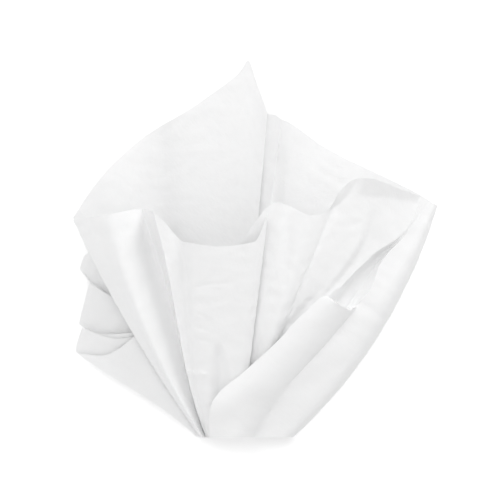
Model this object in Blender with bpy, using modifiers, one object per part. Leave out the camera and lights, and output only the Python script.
"""A square sheet of white tissue paper, gathered at its middle and lying on its back.

The middle of the sheet is pinched together and every fold line fans out from that
pinch. The sheet is one open surface that runs once round the pinch, back panel,
pleats, front panels and back panel again, and Solidify gives it its thickness.
"""

import math

import bmesh
import bpy
import numpy as np

# Sheet, in metres. The side is what the corner's reach was measured from.
SHEET_SIDE = 0.508
PAPER = 0.0006

# Distance from one lying layer to the next, at the foot of the gather.
LAYER_PITCH = 0.0011

# Distance from the pinch to the straight lower edge, where the gather is cut off.
FOOT_CUT = 0.0395

# Places of the surface's rows along a rib, from 0 at the foot to 1 at the rim, closer
# at the lip of the rolled pleat, and about how many columns go once round the rim.
ROW_PLACES = (
    0.0, 0.06, 0.13, 0.2, 0.27, 0.34, 0.41, 0.47, 0.53,
    0.55, 0.58, 0.61, 0.67, 0.75, 0.83, 0.91, 1.0,
)
RIM_COLUMNS = 120

# Colour and finish of the paper.
WHITE = (0.86, 0.86, 0.86, 1.0)
ROUGHNESS = 0.85

# A rib is a fold line, or a soft line between folds, from the foot to the rim:
# reach as a share of half the side (1.0 is the middle of a side, 1.414 a corner,
# less where the paper is tucked), bearings at the rim and at the foot in degrees,
# and rises above the floor at the rim and at the foot in degrees.
# A layer is (layers under it, swing, ribs). Swing is how late, going down to the
# foot, the ribs leave their rim bearing: 1 is evenly. A rib with a sixth number has
# its own swing. Layers meet at the folds.
BACK_LEFT = (2, 1, [
    (1.24, 5.05, 5.3, 2.3, 0.6),
    (1.335, 3.2, 3.0, 1.6, 0.6),
    (1.41, 1.9, 1.0, 1.2, 0.5),
    (1.36, 0.4, -1.0, 1.4, 0.6),
    (1.272, -5.2, -9.0, 3.0, 1.2),
    (1.232, -9.2, -17.0, 1.3, 0.6),
    (1.212, -12.0, -22.0, 0.3, 0.4),
    (1.174, -16.7, -24.0, 0.9, 0.4),
    (1.11, -23.7, -28.0, 2.2, 0.5),
    (1.035, -31.2, -36.0, 2.2, 0.5),
])
LEFT_PLEATS = [
    (3, 1, [
        (1.025, -31.2, -36.0, 2.5, 1.2),
        (0.93, -28.0, -31.0, 2.3, 1.2),
        (0.84, -22.0, -22.0, 2.0, 1.2),
    ]),
    (4, 1, [
        (0.83, -22.0, -22.0, 2.6, 1.6),
        (0.91, -31.5, -32.0, 2.9, 1.6),
        (0.88, -35.8, -34.5, 1.6, 1.4, 0.5),
    ]),
    (5, 1, [
        (0.876, -35.8, -34.5, 2.0, 1.8, 0.5),
        (0.826, -35.4, -33.0, 2.2, 2.0),
        (0.745, -33.0, -28.0, 3.0, 2.0),
        (0.71, -30.0, -26.0, 3.4, 2.0),
    ]),
    (6, 1, [
        (0.70, -30.0, -26.0, 3.9, 2.4),
        (0.75, -33.5, -29.0, 3.4, 2.4),
        (0.824, -35.8, -32.5, 2.9, 2.4),
    ]),
    (6, 1, [
        (0.824, -35.8, -32.5, 2.9, 2.4),
        (0.788, -39.1, -35.5, 2.0, 2.3),
        (0.753, -42.9, -37.5, 1.2, 2.2),
        (0.742, -44.1, -38.0, 0.9, 2.2),
    ]),
    (7, 1, [
        (0.738, -44.1, -38.0, 1.3, 2.6),
        (0.66, -41.0, -33.0, 2.5, 2.8),
        (0.59, -31.0, -24.0, 4.3, 2.8),
    ]),
    (8, 1, [
        (0.58, -31.0, -24.0, 4.9, 3.2),
        (0.625, -39.5, -31.0, 3.2, 3.2),
        (0.724, -44.3, -36.0, 2.2, 3.2),
    ]),
    (8, 1, [
        (0.724, -44.3, -36.0, 2.2, 3.2),
        (0.70, -48.6, -38.0, 1.2, 3.0),
        (0.685, -50.2, -39.0, 0.8, 3.0, 1.6),
    ]),
    (9, 1, [
        (0.68, -50.2, -39.0, 1.2, 3.4, 1.6),
        (0.61, -45.6, -36.0, 2.2, 3.5),
        (0.59, -39.5, -33.0, 3.6, 3.6),
        (0.60, -29.5, -24.0, 5.1, 3.7),
    ]),
    (10, 1, [
        (0.59, -29.5, -24.0, 5.8, 4.7),
        (0.80, -31.0, -32.0, 5.7, 4.7),
        (1.015, -31.3, -36.1, 5.6, 4.8),
    ]),
]
FRONT_LEFT = (11, 1, [
    (1.025, -31.3, -36.1, 8.0, 6.3),
    (1.005, -28.2, -35.2, 9.2, 9.4),
    (0.985, -24.6, -34.2, 11.8, 13.0, 0.9),
    (0.975, -21.9, -32.6, 9.2, 10.4, 1.4),
    (0.967, -19.4, -31.4, 5.4, 5.9, 3.0),
    (0.957, -17.8, -31.0, 6.0, 6.2, 2.7),
    (0.943, -16.5, -30.3, 12.4, 13.0, 2.25),
])
FRONT_MIDDLE = (11, 1, [
    (0.943, -16.5, -30.3, 12.4, 13.0, 2.25),
    (0.90, -14.9, -29.4, 10.8, 11.6, 2.0),
    (0.83, -12.4, -27.4, 11.6, 12.0, 1.8),
    (0.813, -10.1, -21.0, 14.4, 15.6, 1.6),
    (0.79, -3.6, -9.0, 16.0, 17.6, 1.4),
    (0.80, 3.1, 1.0, 15.8, 17.4, 1.2),
    (0.82, 5.4, 4.8, 15.0, 16.8),
    (0.905, 6.9, 7.2, 13.4, 16.0),
])
HIDDEN_PLEAT = (10, 1, [
    (0.90, 6.9, 7.2, 12.7, 15.2),
    (0.80, 3.0, 3.0, 13.5, 15.6),
    (0.735, -1.8, -1.8, 14.0, 15.8),
])
FRONT_RIGHT = (9, 2, [
    (0.727, -1.8, -1.8, 13.2, 15.2),
    (0.86, 4.0, 4.0, 12.4, 14.6),
    (0.937, 7.6, 8.6, 11.4, 15.2),
    (0.942, 10.7, 9.8, 9.8, 15.5),
    (0.926, 15.3, 10.9, 11.8, 16.0),
    (0.945, 18.1, 11.6, 10.6, 15.6),
    (0.985, 19.2, 12.0, 8.8, 15.0),
    (1.035, 19.8, 12.4, 8.6, 14.6),
    (1.085, 21.4, 12.9, 9.2, 14.0),
    (1.112, 24.6, 13.6, 8.0, 13.0),
    (1.121, 29.1, 14.3, 7.0, 12.0),
])
LOWER_RIGHT = (8, 1, [
    (1.142, 35.55, 44.0, 5.8, 11.0),
    (1.143, 35.75, 48.5, 5.0, 8.0),
    (1.143, 35.9, 50.6, 3.9, 4.6),
])
RIGHT_FOLD = (4, 1, [
    (1.143, 36.1, 51.6, 2.8, 2.8),
])
BACK_RIGHT = [
    (0, 1, [
        (1.143, 35.6, 50.6, 1.6, 0.6),
        (1.141, 31.8, 40.0, 1.0, 0.0),
        (1.136, 25.5, 30.0, 0.5, 0.0),
        (1.143, 18.9, 22.0, 0.0, 0.0),
    ]),
    (0, 1, [
        (1.143, 18.9, 22.0, 0.0, 0.0),
        (1.165, 14.0, 15.0, 0.0, 0.0),
    ]),
    (0, 1, [
        (1.165, 14.0, 15.0, 0.0, 0.0),
        (1.209, 9.4, 10.0, 0.9, 0.2),
        (1.222, 7.4, 7.8, 0.8, 0.2),
        (1.235, 5.1, 5.2, 1.9, 0.3),
        (1.17, 0.0, 0.0, 0.0, 0.0),
    ]),
    (0, 1, [
        (1.17, 0.0, 0.0, 0.0, 0.0),
        (1.08, -8.0, -8.0, 0.0, 0.0),
        (0.98, -17.0, -17.0, 0.0, 0.0),
    ]),
]
UNDER_PLEAT = (1, 1, [
    (0.98, -17.0, -17.0, 0.1, 0.1),
    (1.08, -8.0, -8.0, 0.1, 0.1),
    (1.16, 0.0, 0.0, 0.3, 0.1),
    (1.235, 4.9, 5.1, 2.0, 0.4),
])

# The rolled pleat lies over the front panels as far as its lip. Past the lip its
# ribs turn under and run on along the floor of an open slit. STATIONS are places
# along these ribs, from 0 at the foot to 1 at the rim, with the lip between the
# sixth and the seventh. Each rib has a reach, a bearing and a height at each station.
# Heights are in 254ths of half the side, which are millimetres on a sheet of 508.
STATIONS = (0.0, 0.1, 0.2, 0.32, 0.44, 0.53, 0.61, 0.76, 0.9, 1.0)
SLIT_LEFT_EDGE = (
    (0.16, 0.28, 0.37, 0.475, 0.585, 0.675, 0.765, 0.887, 1.02, 1.135),
    (15.0, 18.5, 21.5, 24.0, 25.6, 26.4, 28.2, 30.9, 33.9, 32.6),
    (17.5, 22.5, 27.0, 31.0, 34.5, 37.5, 39.5, 40.0, 39.5, 39.0),
)
TURNED_DOWN = (
    (0.16, 0.28, 0.37, 0.475, 0.583, 0.672, 0.755, 0.885, 1.02, 1.135),
    (16.4, 20.2, 23.4, 26.2, 27.6, 27.6, 28.7, 31.2, 34.0, 32.95),
    (19.5, 25.0, 29.5, 33.0, 35.0, 34.0, 33.0, 35.5, 38.8, 38.9),
)
UNDER_ROLL = (
    (0.16, 0.275, 0.37, 0.475, 0.583, 0.66, 0.742, 0.88, 1.02, 1.136),
    (2.0, 7.0, 16.0, 22.0, 25.2, 27.6, 28.9, 31.5, 34.1, 33.25),
    (32.0, 38.5, 41.5, 42.0, 41.0, 36.5, 27.0, 31.0, 38.2, 38.8),
)
ROLL_EDGE_BELOW = (
    (0.16, 0.27, 0.37, 0.48, 0.59, 0.672, 0.712, 0.875, 1.02, 1.137),
    (-25.8, -14.0, 6.6, 17.0, 22.2, 27.0, 29.6, 31.85, 34.2, 33.55),
    (28.0, 38.0, 43.5, 45.0, 45.0, 43.5, 24.0, 29.0, 37.9, 38.7),
)
ROLL_EDGE_ABOVE = (
    (0.16, 0.275, 0.375, 0.483, 0.595, 0.692, 0.715, 0.868, 1.02, 1.138),
    (-26.8, -16.0, 5.0, 16.0, 21.4, 26.2, 30.6, 32.2, 34.3, 33.85),
    (30.5, 40.5, 46.0, 47.5, 47.5, 46.0, 23.5, 28.5, 37.8, 38.6),
)
ROLL_CROWN = (
    (0.16, 0.27, 0.36, 0.465, 0.585, 0.685, 0.69, 0.865, 1.02, 1.138),
    (-8.0, 0.0, 13.5, 21.5, 26.0, 29.2, 31.7, 32.5, 34.4, 34.15),
    (38.0, 47.0, 52.0, 54.0, 54.0, 52.0, 23.5, 28.5, 37.9, 38.5),
)
ROLL_RIGHT_SIDE = (
    (0.16, 0.265, 0.35, 0.46, 0.58, 0.69, 0.70, 0.865, 1.02, 1.138),
    (8.0, 15.0, 23.0, 28.2, 31.2, 32.6, 32.9, 32.9, 34.55, 34.45),
    (34.0, 41.5, 46.5, 48.5, 48.0, 46.5, 27.0, 31.5, 38.2, 38.3),
)
SLIT_RIGHT_EDGE = (
    (0.16, 0.26, 0.34, 0.46, 0.57, 0.69, 0.78, 0.885, 1.035, 1.139),
    (19.4, 23.6, 27.2, 31.0, 33.2, 34.4, 34.9, 33.5, 34.7, 34.8),
    (22.0, 26.5, 29.5, 32.0, 33.5, 37.0, 40.0, 39.8, 39.2, 38.0),
)
BESIDE_SLIT = (
    (0.16, 0.26, 0.34, 0.46, 0.58, 0.69, 0.77, 0.885, 1.035, 1.14),
    (26.0, 29.0, 31.2, 34.0, 35.8, 36.8, 37.0, 36.6, 35.5, 35.2),
    (19.0, 26.0, 31.0, 35.5, 38.0, 38.6, 38.4, 37.8, 38.2, 37.0),
)
ROLL_BACK = (SLIT_LEFT_EDGE, TURNED_DOWN, UNDER_ROLL, ROLL_EDGE_BELOW)
ROLL_FRONT = (ROLL_EDGE_ABOVE, ROLL_CROWN, ROLL_RIGHT_SIDE, SLIT_RIGHT_EDGE)

HALF_SIDE = SHEET_SIDE / 2
HEIGHT_STEP = HALF_SIDE / 254


def place(reach, bearing, height):
    """A point at this distance and bearing from the pinch, with y = 0 at the foot."""
    angle = math.radians(bearing)
    x = reach * math.sin(angle)
    y = reach * math.cos(angle) - FOOT_CUT
    return np.array([x, y, height])


def foot_reach(bearing):
    """Distance from the pinch to the straight lower edge along a bearing."""
    return FOOT_CUT / math.cos(math.radians(bearing))


def straight_rib(level, swing, rib):
    """Points of a plain rib, which leaves the foot and swings to its rim bearing."""
    share, rim_bearing, foot_bearing, rim_rise, foot_rise = rib[:5]
    swing = rib[5] if len(rib) > 5 else swing
    start = foot_reach(foot_bearing)
    end = share * HALF_SIDE
    points = []
    for t in ROW_PLACES:
        reach = start + (end - start) * t
        bearing = rim_bearing + (foot_bearing - rim_bearing) * (1 - t) ** swing
        rise = foot_rise + (rim_rise - foot_rise) * t
        height = PAPER / 2 + level * LAYER_PITCH + reach * math.tan(math.radians(rise))
        points.append(place(reach, bearing, height))
    points[0][1] = 0.0
    return np.array(points)


def smooth_through(knots, values, t):
    """Values at t on a smooth curve that passes each knot and never overshoots."""
    steps = np.diff(knots)
    slopes = np.diff(values) / steps
    tangents = np.zeros(len(knots))
    tangents[0] = slopes[0]
    tangents[-1] = slopes[-1]
    for i in range(1, len(knots) - 1):
        if slopes[i - 1] * slopes[i] > 0:
            tangents[i] = 2 * slopes[i - 1] * slopes[i] / (slopes[i - 1] + slopes[i])
    i = np.clip(np.searchsorted(knots, t, side="right") - 1, 0, len(steps) - 1)
    s = (t - knots[i]) / steps[i]
    start = (1 + 2 * s) * (1 - s) ** 2 * values[i]
    end = s * s * (3 - 2 * s) * values[i + 1]
    leave = s * (1 - s) ** 2 * steps[i] * tangents[i]
    arrive = s * s * (s - 1) * steps[i] * tangents[i + 1]
    return start + end + leave + arrive


def bent_rib(rib):
    """Points of a rib of the roll, a smooth curve through its stations."""
    shares, bearings, heights = (np.array(row) for row in rib)
    knots = np.array(STATIONS)
    reaches = shares * HALF_SIDE
    reaches[0] = foot_reach(bearings[0])
    t = np.array(ROW_PLACES)
    reach = smooth_through(knots, reaches, t)
    bearing = smooth_through(knots, bearings, t)
    height = smooth_through(knots, heights * HEIGHT_STEP, t)
    points = [place(r, b, h) for r, b, h in zip(reach, bearing, height)]
    points[0][1] = 0.0
    return np.array(points)


def layer_ribs(layer):
    level, swing, ribs = layer
    return [straight_rib(level, swing, rib) for rib in ribs]


def all_layers():
    """Every layer in its order round the pinch, as lists of ribs."""
    roll_back = [bent_rib(rib) for rib in ROLL_BACK]
    roll_front = [bent_rib(rib) for rib in ROLL_FRONT]
    right = [roll_front[-1], bent_rib(BESIDE_SLIT)]
    right += layer_ribs(LOWER_RIGHT) + layer_ribs(RIGHT_FOLD) + layer_ribs(BACK_RIGHT[0])
    layers = [layer_ribs(BACK_LEFT)]
    layers += [layer_ribs(layer) for layer in LEFT_PLEATS]
    layers += [layer_ribs(FRONT_LEFT), layer_ribs(FRONT_MIDDLE), layer_ribs(HIDDEN_PLEAT)]
    layers += [layer_ribs(FRONT_RIGHT) + roll_back[:1], roll_back, roll_front, right]
    layers += [layer_ribs(layer) for layer in BACK_RIGHT[1:]]
    return layers + [layer_ribs(UNDER_PLEAT)]


def between(ribs, k, s):
    """The column at share s of the way from rib k to the next, on a smooth curve."""
    before = ribs[max(k - 1, 0)]
    start = ribs[k]
    end = ribs[k + 1]
    after = ribs[min(k + 2, len(ribs) - 1)]
    leave = (end - before) / 2
    arrive = (after - start) / 2
    h1 = (1 + 2 * s) * (1 - s) ** 2
    h2 = s * s * (3 - 2 * s)
    h3 = s * (1 - s) ** 2
    h4 = s * s * (s - 1)
    return h1 * start + h2 * end + h3 * leave + h4 * arrive


def rim_gaps(ribs):
    """Distances at the rim from each rib of a layer to the next."""
    tips = np.array([rib[-1] for rib in ribs])
    return np.linalg.norm(np.diff(tips, axis=0), axis=1)


def columns_of(ribs, width):
    """The layer's columns, about this width at the rim."""
    columns = []
    for k, gap in enumerate(rim_gaps(ribs)):
        steps = max(1, round(gap / width))
        columns += [between(ribs, k, i / steps) for i in range(steps)]
    return columns + [ribs[-1]]


def sheet_columns():
    """All columns once round, without the repeats where a layer starts on the last rib."""
    columns = []
    layers = all_layers()
    width = sum(rim_gaps(ribs).sum() for ribs in layers) / RIM_COLUMNS
    for ribs in layers:
        for column in columns_of(ribs, width):
            if columns and np.abs(column - columns[-1]).max() < 1e-7:
                continue
            columns.append(column)
    return np.array(columns + [columns[0]])


def make_sheet(collection):
    """Lays a flat sheet's grid onto the columns and joins its two ends."""
    columns = sheet_columns()
    count, rows = columns.shape[:2]
    mesh = bpy.data.meshes.new("tissue_sheet")
    bm = bmesh.new()
    bmesh.ops.create_grid(bm, x_segments=count - 1, y_segments=rows - 1, size=HALF_SIDE)
    for vert in bm.verts:
        i = round((vert.co.x / HALF_SIDE + 1) / 2 * (count - 1))
        j = round((vert.co.y / HALF_SIDE + 1) / 2 * (rows - 1))
        vert.co = columns[i][j]
    bmesh.ops.remove_doubles(bm, verts=bm.verts, dist=1e-6)
    bmesh.ops.triangulate(bm, faces=bm.faces)
    bm.to_mesh(mesh)
    bm.free()
    sheet = bpy.data.objects.new("tissue_sheet", mesh)
    collection.objects.link(sheet)
    solidify = sheet.modifiers.new("Paper", "SOLIDIFY")
    solidify.thickness = PAPER
    solidify.offset = 0.0
    return sheet


def centre_on_floor(sheet):
    """Moves the sheet's points so that it stands on z = 0, centred on the origin."""
    bpy.context.view_layer.update()
    evaluated = sheet.evaluated_get(bpy.context.evaluated_depsgraph_get())
    points = np.array([vert.co for vert in evaluated.data.vertices])
    low = points.min(axis=0)
    high = points.max(axis=0)
    shift = ((low[0] + high[0]) / 2, (low[1] + high[1]) / 2, low[2])
    for vert in sheet.data.vertices:
        vert.co.x -= shift[0]
        vert.co.y -= shift[1]
        vert.co.z -= shift[2]
    sheet.data.update()


def paper_material():
    material = bpy.data.materials.new("white_tissue")
    material.use_nodes = True
    shader = material.node_tree.nodes["Principled BSDF"]
    shader.inputs["Base Color"].default_value = WHITE
    shader.inputs["Roughness"].default_value = ROUGHNESS
    shader.inputs["Metallic"].default_value = 0.0
    return material


def main():
    for thing in list(bpy.data.objects):
        bpy.data.objects.remove(thing, do_unlink=True)
    collection = bpy.data.collections.new("crumpled_tissue")
    bpy.context.scene.collection.children.link(collection)
    sheet = make_sheet(collection)
    centre_on_floor(sheet)
    sheet.data.materials.append(paper_material())


main()
